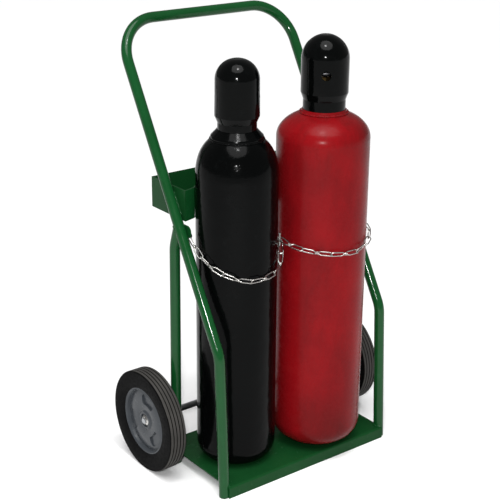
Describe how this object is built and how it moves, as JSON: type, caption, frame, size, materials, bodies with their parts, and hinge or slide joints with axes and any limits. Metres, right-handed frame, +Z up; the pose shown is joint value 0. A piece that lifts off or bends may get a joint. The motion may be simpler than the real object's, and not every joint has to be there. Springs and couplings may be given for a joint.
{
  "type": "gas welding cylinder cart",
  "caption": "Green tubular hand cart with two wheels and a tool tray, carrying a black oxygen and a red acetylene cylinder with screwed valve caps, held by chains.",
  "frame": {"origin": "on the floor under the middle of the whole cart's bounding box", "axes": "+X to the cart's right seen from the front, +Y to the rear where the handle and wheels are, +Z up"},
  "size_m": [0.66, 0.4947, 1.0737],
  "materials": {
    "green_paint": "gloss enamel",
    "black_paint": "gloss, scuffed",
    "red_paint": "semi-gloss",
    "cap_black": "gloss",
    "hub_grey": "gloss",
    "tyre_rubber": "satin",
    "zinc": "zinc plated",
    "axle_steel": "plain steel",
    "brass": "machined",
    "handwheel_alloy": "cast, dark",
    "porous_filler": "matte"
  },
  "bodies": {
    "cart": {"frame_tube": "green_paint", "rear_post_left": "green_paint", "rear_post_right": "green_paint", "base_plate": "green_paint", "tray_pan": "green_paint", "tray_cradle": "green_paint", "divider_bar": "green_paint", "chain_hook": "zinc", "chain_tab_left": "green_paint", "chain_tab_right": "green_paint", "chain_stud_left": "zinc", "chain_stud_right": "zinc", "axle": "axle_steel", "axle_bracket_left": "green_paint", "axle_bracket_right": "green_paint", "axle_collar_left": "zinc", "axle_collar_right": "zinc", "wheel_washer_left": "zinc", "wheel_washer_right": "zinc", "push_nut_left": "zinc", "push_nut_right": "zinc"},
    "wheel_left": {"tyre_left": "tyre_rubber", "wheel_hub_left": "hub_grey", "hub_bushing_left": "axle_steel"},
    "wheel_right": {"tyre_right": "tyre_rubber", "wheel_hub_right": "hub_grey", "hub_bushing_right": "axle_steel"},
    "oxygen_cylinder": {"oxygen_shell": "black_paint", "oxygen_neck_ring": "black_paint", "oxygen_valve_body": "brass", "oxygen_packing_nut": "brass", "oxygen_safety_plug": "brass"},
    "acetylene_cylinder": {"acetylene_shell": "red_paint", "acetylene_foot_ring": "red_paint", "acetylene_filler": "porous_filler", "acetylene_neck_ring": "red_paint", "acetylene_valve_body": "brass", "acetylene_packing_nut": "brass"},
    "oxygen_cap_lift": {"oxygen_cap": "cap_black"},
    "acetylene_cap_lift": {"acetylene_cap": "cap_black"},
    "oxygen_handwheel_turn": {"oxygen_handwheel": "handwheel_alloy"},
    "acetylene_handwheel_turn": {"acetylene_handwheel": "handwheel_alloy"},
    "chain_left_swing": {"chain_left": "zinc"},
    "chain_right_swing": {"chain_right": "zinc"}
  },
  "joints": [
    {"name": "wheel_left_spin", "type": "hinge", "parent": "cart", "child": "wheel_left", "pos_m": [-0.3075, 0.0344, 0.127], "axis": [1, 0, 0], "continuous": true},
    {"name": "wheel_right_spin", "type": "hinge", "parent": "cart", "child": "wheel_right", "pos_m": [0.3075, 0.0344, 0.127], "axis": [1, 0, 0], "continuous": true},
    {"name": "oxygen_lift_off", "type": "slide", "parent": "cart", "child": "oxygen_cylinder", "axis": [0, 0, 1], "range_m": [0, 0.3]},
    {"name": "acetylene_lift_off", "type": "slide", "parent": "cart", "child": "acetylene_cylinder", "axis": [0, 0, 1], "range_m": [0, 0.3]},
    {"name": "oxygen_cap_off", "type": "slide", "parent": "oxygen_cylinder", "child": "oxygen_cap_lift", "axis": [0, 0, 1], "range_m": [0, 0.16]},
    {"name": "acetylene_cap_off", "type": "slide", "parent": "acetylene_cylinder", "child": "acetylene_cap_lift", "axis": [0, 0, 1], "range_m": [0, 0.18]},
    {"name": "oxygen_handwheel_spin", "type": "hinge", "parent": "oxygen_cylinder", "child": "oxygen_handwheel_turn", "pos_m": [-0.13, -0.0803, 0.935], "axis": [0, 0, 1], "range_deg": [0, 720]},
    {"name": "acetylene_handwheel_spin", "type": "hinge", "parent": "acetylene_cylinder", "child": "acetylene_handwheel_turn", "pos_m": [0.0875, -0.1248, 0.956], "axis": [0, 0, 1], "range_deg": [0, 540]},
    {"name": "chain_left_hinge", "type": "hinge", "parent": "cart", "child": "chain_left_swing", "pos_m": [-0.2281, -0.0256, 0.603], "axis": [-0.9012, 0.4127, 0.1323], "range_deg": [0, 20]},
    {"name": "chain_right_hinge", "type": "hinge", "parent": "cart", "child": "chain_right_swing", "pos_m": [0.2281, -0.0256, 0.603], "axis": [-0.9408, -0.3293, -0.08], "range_deg": [0, 4]}
  ]
}
